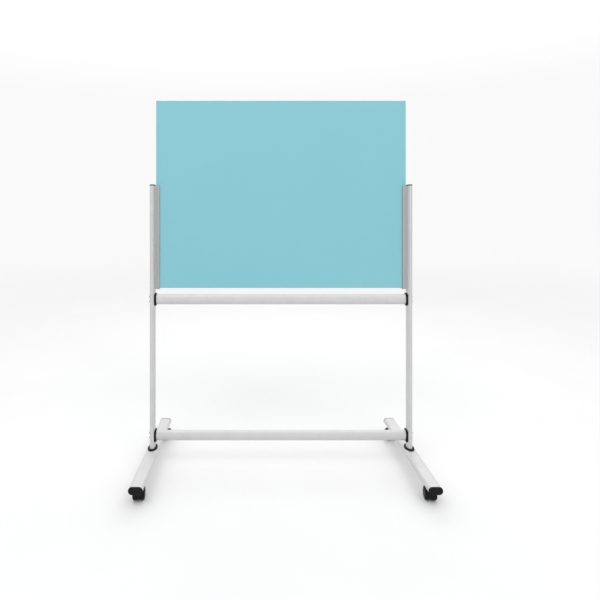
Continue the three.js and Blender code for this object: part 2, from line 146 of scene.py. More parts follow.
def flat_oval(width, height, arc=20, straight=6):
    """An outline of two half circles joined by straight sides, along its first axis."""

    def outline(offset):
        radius = height / 2 + offset
        reach = (width - height) / 2
        points = []
        for centre, start in ((reach, -TAU / 4), (-reach, TAU / 4)):
            for i in range(arc + 1):
                angle = start + TAU / 2 * i / arc
                points.append((centre + radius * math.cos(angle), radius * math.sin(angle)))
            side = -1 if centre > 0 else 1
            for i in range(1, straight):
                points.append((side * -reach + side * 2 * reach * i / straight, -side * radius))
        return points

    return outline


def rounded_box(half_u, half_v, corner, arc=8, straight=6):
    """An outline of a rectangle with round corners. An inset past the corners shrinks it to its middle."""

    def outline(offset):
        inset = max(offset, 1 * MM - corner)
        shrink = (half_u + offset) / (half_u + inset)
        radius = corner + inset
        corners = []
        for k, (side_u, side_v) in enumerate(((1, -1), (1, 1), (-1, 1), (-1, -1))):
            for i in range(arc + 1):
                angle = TAU / 4 * (k - 1 + i / arc)
                u = side_u * (half_u - corner) + radius * math.cos(angle)
                v = side_v * (half_v - corner) + radius * math.sin(angle)
                corners.append(Vector((u, v)) * shrink)
        points = []
        for i, point in enumerate(corners):
            points.append(point)
            if i % (arc + 1) == arc:
                following = corners[(i + 1) % len(corners)]
                points += [point.lerp(following, j / straight) for j in range(1, straight)]
        return points

    return outline


def rings(outline, stations, place):
    """Rings of the outline at (offset, depth) stations. place turns (u, v, depth) into a point."""
    return [[place(u, v, depth) for u, v in outline(offset)] for offset, depth in stations]


def rounded(offset, depth, radius, steps=5):
    """Stations round an edge, from the side at `offset` to the end face at `depth`."""
    angles = [TAU / 4 * i / steps for i in range(steps + 1)]
    return [(offset - radius + radius * math.cos(a), depth + radius * (math.sin(a) - 1)) for a in angles]


def tube_stations(low, high, wall):
    """Stations round a tube's wall: out along its low end, up the outside and back down the inside."""
    return [
        (-wall, low),
        (-EDGE, low),
        (0, low + EDGE),
        (0, high - EDGE),
        (-EDGE, high),
        (-wall, high),
    ]


def spigot_stations(root, tip):
    """Stations of a spigot in a tube's end, from just inside its flange to a chamfered tip."""
    return [(SPIGOT, root - 1 * MM), (SPIGOT, tip - 2 * MM), (SPIGOT - 1.5 * MM, tip)]


def turned(profile, place, count=48):
    """Revolves (radius, height) points. place turns (x, y, height) into a point."""
    return loft([[place(x, y, height) for x, y in circle(radius, count)] for radius, height in profile])


def polygon_prism(outline, low, high, place, bevel):
    """Extrudes a plain outline between two depths and rounds every edge."""
    bm = bmesh.new()
    bottom = [bm.verts.new((u, v, low)) for u, v in outline]
    top = [bm.verts.new((u, v, high)) for u, v in outline]
    bm.faces.new(bottom)
    bm.faces.new(top)
    for i in range(len(outline)):
        j = (i + 1) % len(outline)
        bm.faces.new((bottom[i], bottom[j], top[j], top[i]))
    bmesh.ops.recalc_face_normals(bm, faces=bm.faces)
    hard = math.radians(25)  # an edge that turns by less than this is part of a curve
    edges = [edge for edge in bm.edges if edge.calc_face_angle(0) > hard]
    bmesh.ops.bevel(
        bm, geom=edges, offset=bevel, segments=3, profile=0.5, affect="EDGES", clamp_overlap=True
    )
    for vert in bm.verts:
        vert.co = place(*vert.co)
    return bm


def combined(parts, operation):
    """One bmesh made of the first closed one and a boolean operation with each of the others."""
    objects = []
    for part in parts:
        bmesh.ops.remove_doubles(part, verts=part.verts, dist=WELD)
        bmesh.ops.recalc_face_normals(part, faces=part.faces)
        mesh = bpy.data.meshes.new("part")
        part.to_mesh(mesh)
        part.free()
        obj = bpy.data.objects.new("part", mesh)
        bpy.context.scene.collection.objects.link(obj)
        objects.append(obj)
    for other in objects[1:]:
        modifier = objects[0].modifiers.new("combine", "BOOLEAN")
        modifier.operation = operation
        modifier.solver = "EXACT"
        modifier.object = other
    evaluated = objects[0].evaluated_get(bpy.context.evaluated_depsgraph_get())
    result = bmesh.new()
    result.from_mesh(evaluated.to_mesh())
    evaluated.to_mesh_clear()
    for obj in objects:
        mesh = obj.data
        bpy.data.objects.remove(obj)
        bpy.data.meshes.remove(mesh)
    return result


def united(parts):
    return combined(parts, "UNION")


def difference(body, tool):
    return combined([body, tool], "DIFFERENCE")


# ---------------------------------------------------------------- materials


class Look:
    """A principled material with helpers for its procedural detail, in the row frame's metres."""

    def __init__(self, name):
        self.material = bpy.data.materials.new(name)
        self.material.use_nodes = True
        self.nodes = self.material.node_tree.nodes
        self.links = self.material.node_tree.links
        self.shader = self.nodes["Principled BSDF"]
        self.place = self.nodes.new("ShaderNodeTexCoord").outputs["Object"]

    def set(self, **values):
        for key, value in values.items():
            self.shader.inputs[key.replace("_", " ")].default_value = value

    def noise(self, size, detail=4.0, stretch=(1, 1, 1)):
        """Noise whose grain is about `size` metres across."""
        mapping = self.nodes.new("ShaderNodeMapping")
        mapping.inputs["Scale"].default_value = stretch
        self.links.new(self.place, mapping.inputs["Vector"])
        noise = self.nodes.new("ShaderNodeTexNoise")
        noise.inputs["Scale"].default_value = 1 / size
        noise.inputs["Detail"].default_value = detail
        self.links.new(mapping.outputs["Vector"], noise.inputs["Vector"])
        return noise.outputs["Fac"]

    def spread(self, factor, low, high, start=0.3, end=0.7):
        """Maps a factor from start..end to low..high."""
        node = self.nodes.new("ShaderNodeMapRange")
        for key, value in (("From Min", start), ("From Max", end), ("To Min", low), ("To Max", high)):
            node.inputs[key].default_value = value
        self.links.new(factor, node.inputs["Value"])
        return node.outputs["Result"]

    def mixed(self, factor, first, second):
        node = self.nodes.new("ShaderNodeMix")
        node.data_type = "RGBA"
        self.links.new(factor, node.inputs["Factor"])
        colours = node.inputs[6], node.inputs[7]  # the names A and B also belong to other sockets
        for socket, value in zip(colours, (first, second)):
            if isinstance(value, tuple):
                socket.default_value = (*value, 1)
            else:
                self.links.new(value, socket)
        return node.outputs[2]

    def colour(self, output):
        self.links.new(output, self.shader.inputs["Base Color"])

    def roughness(self, output):
        self.links.new(output, self.shader.inputs["Roughness"])

    def bump(self, *layers):
        """Bumps from (height output, depth in metres) layers, one over the other."""
        previous = None
        for height, depth in layers:
            node = self.nodes.new("ShaderNodeBump")
            node.inputs["Strength"].default_value = 1.0
            node.inputs["Distance"].default_value = depth
            self.links.new(height, node.inputs["Height"])
            if previous:
                self.links.new(previous, node.inputs["Normal"])
            previous = node.outputs["Normal"]
        self.links.new(previous, self.shader.inputs["Normal"])


def silver_paint():
    """Satin silver powder coat: orange peel, fine metallic grain and a few faint smudges."""
    look = Look("silver_powder_coat")
    grain = look.noise(0.7 * MM, 2)
    cloud = look.noise(60 * MM, 3)
    base = look.mixed(look.spread(cloud, 0, 1), (0.50, 0.50, 0.495), (0.54, 0.54, 0.535))
    look.colour(look.mixed(look.spread(grain, 0, 1, 0.45, 0.75), base, (0.62, 0.62, 0.62)))
    look.roughness(look.spread(look.noise(25 * MM, 5), 0.36, 0.48))
    look.bump((look.noise(1.6 * MM, 1), 0.03 * MM), (grain, 0.008 * MM))
    look.set(Metallic=0.12, Coat_Weight=0.15, Coat_Roughness=0.25)
    return look.material


def aluminium():
    """Anodised extrusion, with die lines along its length."""
    look = Look("anodised_aluminium")
    lines = look.noise(0.5 * MM, 3, (1, 1, 0.004))
    look.colour(look.mixed(look.spread(lines, 0, 1), (0.35, 0.35, 0.355), (0.44, 0.44, 0.445)))
    look.roughness(look.spread(lines, 0.34, 0.48))
    look.bump((lines, 0.012 * MM))
    look.set(Metallic=0.55)
    return look.material


def zinc_steel():
    """Zinc-plated steel, slightly mottled."""
    look = Look("zinc_plated_steel")
    mottle = look.noise(2.5 * MM, 4)
    look.colour(look.mixed(look.spread(mottle, 0, 1), (0.27, 0.27, 0.28), (0.42, 0.42, 0.44)))
    look.roughness(look.spread(mottle, 0.22, 0.4))
    look.bump((look.noise(0.4 * MM, 2), 0.01 * MM))
    look.set(Metallic=1.0)
    return look.material


def steel_sheet():
    """The panel's backing sheet, seen only at its edge."""
    look = Look("backing_steel")
    lines = look.noise(0.6 * MM, 3, (0.02, 1, 1))
    look.colour(look.mixed(look.spread(lines, 0, 1), (0.30, 0.31, 0.32), (0.42, 0.43, 0.44)))
    look.roughness(look.spread(lines, 0.35, 0.5))
    look.set(Metallic=0.9)
    return look.material


def black_plastic():
    """Spark-textured black moulding, slightly rubbed in places."""
    look = Look("black_moulded_plastic")
    texture = look.noise(0.45 * MM, 2)
    rubbed = look.noise(14 * MM, 5)
    wear = look.spread(rubbed, 0, 1, 0.5, 0.8)
    look.colour(look.mixed(wear, (0.004, 0.004, 0.0045), (0.013, 0.013, 0.014)))
    look.roughness(look.spread(rubbed, 0.42, 0.6))
    look.bump((texture, 0.025 * MM))
    look.set(Specular_IOR_Level=0.16)
    return look.material


def wheel_hub():
    """Smoother black nylon of the wheels' faces."""
    look = Look("black_nylon")
    cloud = look.noise(9 * MM, 4)
    look.colour(look.mixed(look.spread(cloud, 0, 1), (0.006, 0.006, 0.007), (0.012, 0.012, 0.013)))
    look.roughness(look.spread(cloud, 0.28, 0.42))
    look.bump((look.noise(0.8 * MM, 2), 0.01 * MM))
    look.set(Specular_IOR_Level=0.25)
    return look.material


def tread_rubber():
    """Soft tread, dulled by floor dust."""
    look = Look("tread_rubber")
    dust = look.noise(6 * MM, 6)
    dusty = look.spread(dust, 0, 1, 0.45, 0.8)
    look.colour(look.mixed(dusty, (0.010, 0.010, 0.010), (0.035, 0.034, 0.032)))
    look.roughness(look.spread(dust, 0.6, 0.85))
    look.bump((look.noise(0.5 * MM, 3), 0.04 * MM))
    look.set(Specular_IOR_Level=0.25)
    return look.material


def liner_rubber():
    """Grey rubber of the channel liners."""
    look = Look("grey_liner_rubber")
    lines = look.noise(1.2 * MM, 3, (1, 1, 0.02))
    look.colour(look.mixed(look.spread(lines, 0, 1), (0.10, 0.10, 0.105), (0.14, 0.14, 0.145)))
    look.roughness(look.spread(lines, 0.6, 0.75))
    look.bump((lines, 0.02 * MM))
    return look.material


AQUA = (0.186, 0.468, 0.533)
AQUA_SHIFT = (0.192, 0.476, 0.541)


def painted_glass():
    """Tempered glass with aqua paint behind it. Old marker haze only shows in the gloss."""
    look = Look("aqua_painted_glass")
    look.colour(look.mixed(look.spread(look.noise(0.35, 3), 0, 1), AQUA, AQUA_SHIFT))
    haze = look.noise(0.12, 6, (1, 1, 0.35))
    look.roughness(look.spread(haze, 0.16, 0.24))
    look.bump((look.noise(0.25, 1), 0.05 * MM))
    look.set(IOR=1.5, Coat_Weight=0.4, Coat_Roughness=0.06)
    return look.material


def glass_edge():
    """The ground edge of the glass, where the paint's colour gathers."""
    look = Look("aqua_glass_edge")
    grind = look.noise(0.5 * MM, 3)
    look.colour(look.mixed(look.spread(grind, 0, 1), (0.10, 0.36, 0.40), (0.16, 0.46, 0.50)))
    look.roughness(look.spread(grind, 0.2, 0.35))
    look.bump((grind, 0.01 * MM))
    look.set(IOR=1.5, Coat_Weight=0.3)
    return look.material


SILVER = silver_paint()
ALUMINIUM = aluminium()
ZINC = zinc_steel()
STEEL = steel_sheet()
BLACK = black_plastic()
HUB = wheel_hub()
TREAD = tread_rubber()
LINER = liner_rubber()
GLASS = painted_glass()
GLASS_EDGE = glass_edge()


# ---------------------------------------------------------------- the panel


def glass_sheet(node):
    """A glass sheet with small corner radii and an arris ground on both faces."""
    low, high, middle, size = span(node)
    corner = 2.0 * MM
    arris = 0.6 * MM
    outline = rounded_box(size.x / 2, size.z / 2, corner, arc=6, straight=1)

    def place(u, v, depth):
        return Vector((middle.x + u, depth, middle.z + v))

    stations = [(-arris, low.y), (0, low.y + arris), (0, high.y - arris), (-arris, high.y)]
    bm = loft(rings(outline, stations, place))
    looks = [GLASS, GLASS_EDGE]
    piece = finish_mesh(node + "_sheet", bm, "frame", [node], looks, sharp=20)
    for polygon in piece.data.polygons:
        polygon.material_index = 0 if abs(polygon.normal.y) > 0.9 else 1


# ---------------------------------------------------------------- tubes

UPRIGHT = span("left_upright")
FOOT = span("left_foot")
BAR = span("middle_crossbar")
HALF_SHORT = UPRIGHT.size.x / 2
HALF_LONG = UPRIGHT.size.y / 2
FOOT_RADIUS = FOOT.size.z / 2
FOOT_FLAT = FOOT.size.x / 2 - FOOT_RADIUS
FOOT_Z = FOOT.middle.z
UPRIGHT_OUTLINE = ellipse(HALF_SHORT, HALF_LONG)
FOOT_OUTLINE = flat_oval(FOOT.size.x, FOOT.size.z)


def upright(side):
    node = side + "_upright"
    low, high, middle, _ = span(node)
    stations = tube_stations(low.z, high.z, OVAL_WALL)
    bm = loft(rings(UPRIGHT_OUTLINE, stations, lambda u, v, d: (middle.x + u, v, d)), loop=True)
    finish_mesh(node + "_tube", bm, "frame", [node], [SILVER])


def crossbar(name):
    node = name + "_crossbar"
    low, high, middle, _ = span(node)
    stations = tube_stations(low.x, high.x, OVAL_WALL)
    bm = loft(rings(UPRIGHT_OUTLINE, stations, lambda u, v, d: (d, u, middle.z + v)), loop=True)
    finish_mesh(node + "_tube", bm, "frame", [node], [SILVER])


def foot(side):
    node = side + "_foot"
    low, high, middle, _ = span(node)
    stations = tube_stations(low.y, high.y, FOOT_WALL)
    bm = loft(rings(FOOT_OUTLINE, stations, lambda u, v, d: (middle.x + u, d, middle.z + v)), loop=True)
    finish_mesh(node + "_tube", bm, "frame", [node], [SILVER])


# ---------------------------------------------------------------- moulded fittings


def upright_cap(side):
    """A thin cap with a low dome, on a plug down inside the tube."""
    node = side + "_upright_cap"
    low, high, middle, size = span(node)
    lip = size.x / 2 - HALF_SHORT
    seat = UPRIGHT.high.z + GAP
    dome = 0.6 * MM  # how far the cap's top rises above its rim
    stations = [(SPIGOT - 1 * MM, low.z), (SPIGOT, low.z + 2 * MM), (SPIGOT, seat), (lip - EDGE, seat)]
    stations += [(lip, seat + EDGE)]
    stations += rounded(lip, high.z - dome, 2.4 * MM)
    stations += [(lip - 6 * MM, high.z - dome / 3), (lip - 11 * MM, high.z)]
    bm = loft(rings(UPRIGHT_OUTLINE, stations, lambda u, v, d: (middle.x + u, v, d)))
    finish_mesh(node + "_moulding", bm, "frame", [node], [BLACK])


FLANGE_CORNER = 12 * MM
FLANGE_EDGE = 2.2 * MM
COLLAR_EDGE = 2.6 * MM


def upright_surface(v):
    """How far the upright's round side, with its gap, stands out at a distance v along its long axis."""
    return (HALF_SHORT + GAP) * math.sqrt(max(0.0, 1 - (v / (HALF_LONG + GAP)) ** 2))


def connector(side, direction, bar):
    """A saddle that hugs the upright and ends in a rounded flange, with a spigot into the crossbar."""
    node = f"{side}_{bar}_connector"
    low, high, middle, size = span(node)
    axis_x = span(side + "_upright").middle.x
    bar_end = BAR.high.x if direction < 0 else BAR.low.x
    flange_end = abs(bar_end - axis_x) - GAP
    tip = abs((low.x if direction < 0 else high.x) - axis_x)
    outline = rounded_box(size.y / 2, size.z / 2, FLANGE_CORNER)

    def place(u, v, depth):
        return (axis_x + direction * max(depth, upright_surface(u)), u, middle.z + v)

    # The first stations lie against the upright, from the saddle's middle out to its edge.
    stations = [(offset * MM, 0) for offset in (-16, -13, -9, -5, -2, -0.6, 0)]
    stations += rounded(0, flange_end, FLANGE_EDGE)
    bm = loft(rings(outline, stations, place))
    plug = spigot_stations(flange_end, tip)
    spigot = loft(rings(UPRIGHT_OUTLINE, plug, lambda u, v, d: (axis_x + direction * d, u, middle.z + v)))
    finish_mesh(node + "_moulding", united([bm, spigot]), "frame", [node], [BLACK])


def foot_surface(x):
    """The height of the foot's top at a distance x from its middle."""
    beyond = max(0.0, abs(x) - FOOT_FLAT)
    radius = FOOT_RADIUS + GAP
    return FOOT_Z + math.sqrt(max(0.0, radius**2 - beyond**2))


def base_collar(side):
    """An oval collar that sits over the foot's rounded top and closes the upright's lower end."""
    node = side + "_base_collar"
    _, high, middle, size = span(node)
    top = UPRIGHT.low.z - GAP
    outline = ellipse(size.x / 2, size.y / 2)

    def place(u, v, depth):
        return (middle.x + u, v, max(depth, foot_surface(u)))

    stations = [(offset, 0) for offset in (-22 * MM, -14 * MM, -7 * MM, 0)]
    stations += rounded(0, top, COLLAR_EDGE)
    bm = loft(rings(outline, stations, place))
    plug = spigot_stations(top, high.z)
    spigot = loft(rings(UPRIGHT_OUTLINE, plug, lambda u, v, d: (middle.x + u, v, d)))
    finish_mesh(node + "_moulding", united([bm, spigot]), "frame", [node], [BLACK])


def foot_plug(side, end, outward):
    """The foot's end cap, slightly crowned, with a shallow panel sunk in its face."""
    node = f"{side}_{end}_foot_plug"
    low, high, middle, size = span(node)
    tube_end = FOOT.size.y / 2 + GAP
    inner = low.y if outward > 0 else -high.y
    face = inner + size.y
    lip = (size.x - FOOT.size.x) / 2
    inside = -FOOT_WALL - GAP
    stations = [(inside - 1.5 * MM, inner), (inside, inner + 3 * MM), (inside, tube_end)]
    stations += [(lip - EDGE, tube_end), (lip, tube_end + EDGE)]
    stations += rounded(lip, face, COLLAR_EDGE)
    border, sunk = 4.4 * MM, 0.5 * MM
    panel = face - sunk
    stations += [(lip - border, face), (lip - border - sunk, panel), (lip - 9 * MM, panel)]
    bm = loft(rings(FOOT_OUTLINE, stations, lambda u, v, d: (middle.x + u, outward * d, FOOT_Z + v)))
    finish_mesh(node + "_moulding", bm, "frame", [node], [BLACK], sharp=30)


# ---------------------------------------------------------------- side channels


def side_channel(side, direction):
    """An extrusion with a groove along each flank and rounded lips, closed by a floor at its foot."""
    node = side + "_side_channel"
    low, high, _, size = span(node)
    axis_x = span(side + "_upright").middle.x
    liner = span(side + "_channel_liner")
    half_y = size.y / 2
    half_slot = liner.size.y / 2 + GAP
    liner_back = liner.low.x if direction > 0 else -liner.high.x
    web_x = liner_back - axis_x * direction - GAP
    tip_x = (high.x if direction > 0 else -low.x) - axis_x * direction
    wall = half_y - half_slot
    groove_depth, groove_half, groove_offset = 0.45 * MM, 0.5 * MM, 3 * MM
    flank = web_x + 0.45 * (tip_x - web_x)  # midway between the two grooves
    outer = [(upright_surface(half_y), half_y)]
    for x in (flank - groove_offset, flank + groove_offset):
        outer += [(x - groove_half, half_y), (x, half_y - groove_depth), (x + groove_half, half_y)]
    outer += [(tip_x - wall / 2, half_y), (tip_x - 0.2 * MM, half_y - 0.25 * wall)]
    outer += [(tip_x, half_y - wall / 2), (tip_x - 0.4 * MM, half_slot), (web_x, half_slot)]
    curve = [(upright_surface(y), y) for y in (half_y * k / 6 for k in range(-5, 6))]
    outline = outer + [(x, -y) for x, y in reversed(outer)] + curve

    def place(u, v, depth):
        return Vector((axis_x + direction * u, v, depth))

    bm = loft([[place(u, v, d) for u, v in outline] for d in (low.z, high.z)])
    floor_top = liner.low.z - GAP
    plate = [(web_x - 1 * MM, -half_slot - wall / 2), (tip_x - 0.6 * MM, -half_slot - wall / 2)]
    plate += [(x, -y) for x, y in reversed(plate)]
    floor = polygon_prism(plate, low.z, floor_top, place, 0.2 * MM)
    solid = united([bm, floor])
    finish_mesh(node + "_extrusion", solid, "frame", [node], [ALUMINIUM], sharp=25)


# ---------------------------------------------------------------- fasteners


def hexagon(radius, turn=0.0, count=48):
    """Points on a hexagon of that corner radius, as many as a circle's."""
    points = []
    for i in range(count):
        angle = TAU * i / count
        local = (angle + turn) % (TAU / 6) - TAU / 12
        reach = radius * math.cos(TAU / 12) / math.cos(local)
        points.append((reach * math.cos(angle), reach * math.sin(angle)))
    return points


def crossbar_screw(side, direction, bar, level):
    """A button-head screw with a hexagon socket, seen on the upright's outer face."""
    node = f"{side}_{bar}_bar_{level}_screw"
    low, high, middle, size = span(node)
    outer_x = low.x if direction > 0 else high.x
    head_radius = size.z / 2
    rim = 2.6 * MM  # radius of the flat round the socket
    socket, socket_depth = 2.0 * MM, 1.9 * MM
    seat = 3.4 * MM  # the head's height
    shank = 3.0 * MM
    length = size.x

    def ring(outline, depth):
        return [(outer_x + direction * depth, u, middle.z + v) for u, v in outline]

    rows = [ring(hexagon(socket), socket_depth), ring(hexagon(socket + 0.1 * MM), 0.15 * MM)]
    rows.append(ring(circle(rim), 0))
    dome = 7
    for i in range(1, dome + 1):
        angle = TAU / 4 * i / dome
        reach = rim + (head_radius - rim) * math.sin(angle)
        rows.append(ring(circle(reach), (seat - 0.5 * MM) * (1 - math.cos(angle))))
    below = [(head_radius, seat), (shank, seat), (shank, length - 1 * MM), (shank - 1 * MM, length)]
    rows += [ring(circle(radius), depth) for radius, depth in below]
    bm = loft(rows)
    finish_mesh(node + "_turned", bm, "frame", [node], [ZINC], sharp=30)


def base_bolt(side, end):
    """A hexagon-head bolt with a chamfered head and a washer face."""
    node = f"{side}_{end}_base_bolt"
    low, high, middle, size = span(node)
    corner = size.y / 2
    flat = corner * math.cos(TAU / 12)
    head, shank = 5 * MM, 4 * MM  # the head's height and the shank's radius
    head_top = low.z + head

    def ring(outline, height):
        return [(middle.x + u, middle.y + v, height) for u, v in outline]

    rows = [ring(circle(flat - 1.2 * MM), low.z), ring(circle(flat - 0.2 * MM), low.z + 0.15 * MM)]
    rows += [ring(hexagon(corner, TAU / 12), z) for z in (low.z + 0.9 * MM, head_top - 0.6 * MM)]
    above = [(flat, head_top - 0.4 * MM), (flat, head_top), (shank, head_top)]
    above += [(shank, high.z - 1 * MM), (shank - 1 * MM, high.z)]
    rows += [ring(circle(radius), height) for radius, height in above]
    bm = loft(rows)
    finish_mesh(node + "_turned", bm, "frame", [node], [ZINC], sharp=30)


# ---------------------------------------------------------------- casters


class Caster:
    """A caster's own frame: about its stem, with x along the axle and the wheels trailing along +y."""

    def __init__(self, corner):
        self.corner = corner
        swivel = JOINTS[corner + "_caster_swivel"]
        spin = JOINTS[corner + "_right_wheel_spin"]
        self.stem = Vector((swivel["pos_m"][0], swivel["pos_m"][1], 0))
        axis = Vector(spin["axis"])
        axle = Vector(spin["pos_m"])
        self.turn = Matrix.Rotation(math.atan2(axis.y, axis.x), 4, "Z")
        self.trail = (Vector((axle.x, axle.y, 0)) - self.stem).length
        self.axle_z = axle.z
        self.hinge_y = self.trail + HOOD_RADIUS * math.cos(BRAKE_HINGE)
        self.hinge_z = self.axle_z + HOOD_RADIUS * math.sin(BRAKE_HINGE)

    def place(self, x, y, z):
        return self.stem + self.turn @ Vector((x, y, z))

    def radial(self, x, radius, angle):
        """A point at an angle round the axle, from +y upwards."""
        return self.place(x, self.trail + radius * math.cos(angle), self.axle_z + radius * math.sin(angle))


WHEEL_RADIUS = span("front_left_caster_left_wheel").size.z / 2
HOOD_RADIUS = WHEEL_RADIUS + 4 * MM
HOOD_WALL = 2.5 * MM
HALF_HOOD = 25 * MM
HALF_WEB = 6 * MM
BOSS_RADIUS = 10 * MM
HOOD_START = math.radians(205)
HOOD_END = math.radians(30)
BRAKE_HINGE = math.radians(50)
BRAKED_WEB_END = math.radians(75)
STEM_FLANGE = 9.5 * MM
WHEEL_PLAY = 0.6 * MM
WHEEL_WIDTH = 18 * MM


def hood_skin(half, taper, side):
    """The fender's outer (1) or inner (-1) skin as (across, radius) points, from one rim to the other."""
    across = 18
    crown = 1.1 * MM
    rim_start = 0.93  # the rims round off from this part of the half width
    points = []
    for i in range(across + 1):
        s = -1 + 2 * i / across
        beyond = max(0.0, abs(s) - rim_start) / (1 - rim_start)
        half_wall = HOOD_WALL / 2 * taper * math.sqrt(1 - 0.75 * beyond**2)
        points.append((s * half, HOOD_RADIUS - HOOD_WALL / 2 + side * half_wall - crown * s * s))
    return points


def hood(caster, end_angle):
    """The fender over both wheels: crowned across, with thick rounded rims and rounded ends."""
    steps = 44
    end_wall = 0.35  # the thickness at the very ends, as a part of the rest
    end_width = 0.2  # where the narrowing to the ends starts from
    narrowest = 0.10
    rows = []
    for k in range(steps + 1):
        t = k / steps
        angle = HOOD_START + (end_angle - HOOD_START) * t
        taper = min(1.0, 8 * min(t, 1 - t) + end_wall)
        narrowing = 2 - min(1.0, 6 * (1 - t) + end_width) - min(1.0, 6 * t + end_width)
        half = HALF_HOOD * (1 - narrowest * narrowing)
        section = hood_skin(half, taper, 1) + hood_skin(half, taper, -1)[::-1]
        rows.append([caster.radial(x, r, angle) for x, r in section])
    return loft(rows)


def web(caster, start_angle):
    """The plate between the wheels, from the fender down to a hub round the axle."""
    hub = 9 * MM
    rim = HOOD_RADIUS - HOOD_WALL / 2
    arc = [start_angle + (HOOD_START - start_angle) * i / 24 for i in range(25)]
    outline = [(rim * math.cos(a), rim * math.sin(a)) for a in arc]
    slant = math.radians(75)  # from each end of the fender round to where the hub's curve begins
    first = HOOD_START + slant
    last = start_angle + TAU - slant
    around = [first + (last - first) * i / 16 for i in range(17)]
    outline += [(hub * math.cos(a), hub * math.sin(a)) for a in around]

    def place(u, v, depth):
        return caster.place(depth, caster.trail + u, caster.axle_z + v)

    return polygon_prism(outline, -HALF_WEB, HALF_WEB, place, 0.5 * MM)


def boss(caster):
    """The round boss that turns on the stem, flared where it grows out of the fender."""
    top = JOINTS[caster.corner + "_caster_swivel"]["pos_m"][2]
    flare = [(0, 37), (2.6, 45), (1.2, 47.5), (0.3, 50), (0, 52)]  # beyond the radius, height, mm
    profile = [(BOSS_RADIUS + beyond * MM, height * MM) for beyond, height in flare]
    profile += [(BOSS_RADIUS, top - 0.8 * MM), (BOSS_RADIUS - 0.8 * MM, top)]
    bm = turned(profile, caster.place)
    # Trim to the fender's inner radius, so that the boss stays clear of the wheels.
    inner = HOOD_RADIUS - HOOD_WALL + 0.4 * MM
    ends = (-2 * HALF_HOOD, 2 * HALF_HOOD)
    tool = loft([[caster.radial(x, inner, TAU * i / 64) for i in range(64)] for x in ends])
    return difference(bm, tool)


def brake_ears(caster):
    """Two lugs on the fender's end that carry the pedal's pin."""
    profile = ((8.4, 2.6), (8.8, 3.2), (12.6, 3.2), (13.0, 2.6))  # across and radius, mm
    made = []
    for side in (-1, 1):
        rows = []
        for x, radius in profile:
            ring = [(caster.hinge_y + u, caster.hinge_z + v) for u, v in circle(radius * MM, 32)]
            rows.append([caster.place(side * x * MM, y, z) for y, z in ring])
        made.append(loft(rows))
    return made


def housing(caster):
    """The fender, web and boss in one moulding. A braked one has a slot and ears for its pedal."""
    braked = caster.corner in BRAKED
    end = BRAKE_HINGE if braked else HOOD_END
    shell = hood(caster, end)
    parts = [shell, web(caster, BRAKED_WEB_END if braked else end), boss(caster)]
    if braked:
        half, reach = 8.3 * MM, 8 * MM  # the slot's half width, and half its square section
        y = caster.hinge_y + 2 * MM
        z = caster.hinge_z
        square = [(y + a * reach, z + b * reach) for a, b in ((-1, -1), (1, -1), (1, 1), (-1, 1))]
        slot = loft([[caster.place(x, u, v) for u, v in square] for x in (-half, half)])
        parts[0] = difference(shell, slot)
        parts += brake_ears(caster)
    node = caster.corner + "_caster_housing"
    body = caster.corner + "_caster"
    finish_mesh(node + "_moulding", united(parts), body, [node], [BLACK], sharp=32)


def wheel(caster, hand):
    """A wheel with a soft tread on a ribbed nylon hub."""
    node = f"{caster.corner}_caster_{hand}_wheel"
    outward = 1 if hand == "right" else -1
    inner = HALF_WEB + WHEEL_PLAY
    outer = inner + WHEEL_WIDTH
    radius = WHEEL_RADIUS
    bore = 2.8 * MM
    count = 96
    dish = 2.6 * MM
    profile = [(bore, inner), (radius - 2.2 * MM, inner), (radius - 0.8 * MM, inner + 0.5 * MM)]
    profile += [(radius, inner + 1.8 * MM), (radius, inner + 7 * MM), (radius - 0.35 * MM, inner + 7.5 * MM)]
    profile += [(radius, inner + 8 * MM)]
    # Down from the tread and in from the outer face, mm.
    shoulder = [(0, 3.6), (0.3, 2.4), (1.0, 1.2), (2.2, 0.4), (4.2, 0.1), (4.6, 0.6), (5.0, 0.1)]
    profile += [(radius - drop * MM, outer - back * MM) for drop, back in shoulder]
    profile += [(17 * MM, outer), (16.2 * MM, outer - 0.4 * MM)]
    tread_until = 11  # the faces after the profile's points 1 to 10 are tread
    face = [(15.2 * MM, outer - dish), (8.6 * MM, outer - dish), (7.4 * MM, outer - 0.9 * MM)]
    face += [(6.8 * MM, outer - 0.6 * MM), (4.2 * MM, outer - 0.6 * MM), (3.8 * MM, outer - 1.2 * MM)]
    face += [(bore, outer - 1.4 * MM)]
    ribs, rib_height = 6, 1.9 * MM
    rib_half, rib_side = 0.17, 0.06  # radians

    def rib(angle):
        """How much of the dish a rib fills at this angle, from 0 to 1."""
        away = abs((angle * ribs / TAU + 0.5) % 1 - 0.5) * TAU / ribs
        return max(0.0, min(1.0, (rib_half - away) / rib_side))

    rows = [[caster.radial(outward * x, r, TAU * i / count) for i in range(count)] for r, x in profile]
    for index, (r, x) in enumerate(face):
        raised = rib_height if index < 2 else 0
        row = []
        for i in range(count):
            angle = TAU * i / count
            row.append(caster.radial(outward * (x + raised * rib(angle)), r, angle))
        rows.append(row)
    bm = loft(rows, loop=True)
    body = f"{caster.corner}_{hand}_wheel"
    piece = finish_mesh(node + "_moulding", bm, body, [node], [HUB, TREAD], sharp=30)
    for polygon in piece.data.polygons:
        row = polygon.index // count
        polygon.material_index = 1 if 1 <= row < tread_until else 0


def axle(caster):
    node = caster.corner + "_caster_axle"
    radius = 2.5 * MM
    half = 21 * MM
    profile = [(radius - 0.9 * MM, -half), (radius - 0.2 * MM, -half + 0.4 * MM), (radius, -half + 1 * MM)]
    profile += [(r, -h) for r, h in reversed(profile)]
    bm = turned(profile, lambda x, y, h: caster.place(h, caster.trail + x, caster.axle_z + y), 32)
    finish_mesh(node + "_turned", bm, caster.corner + "_caster", [node], [ZINC])


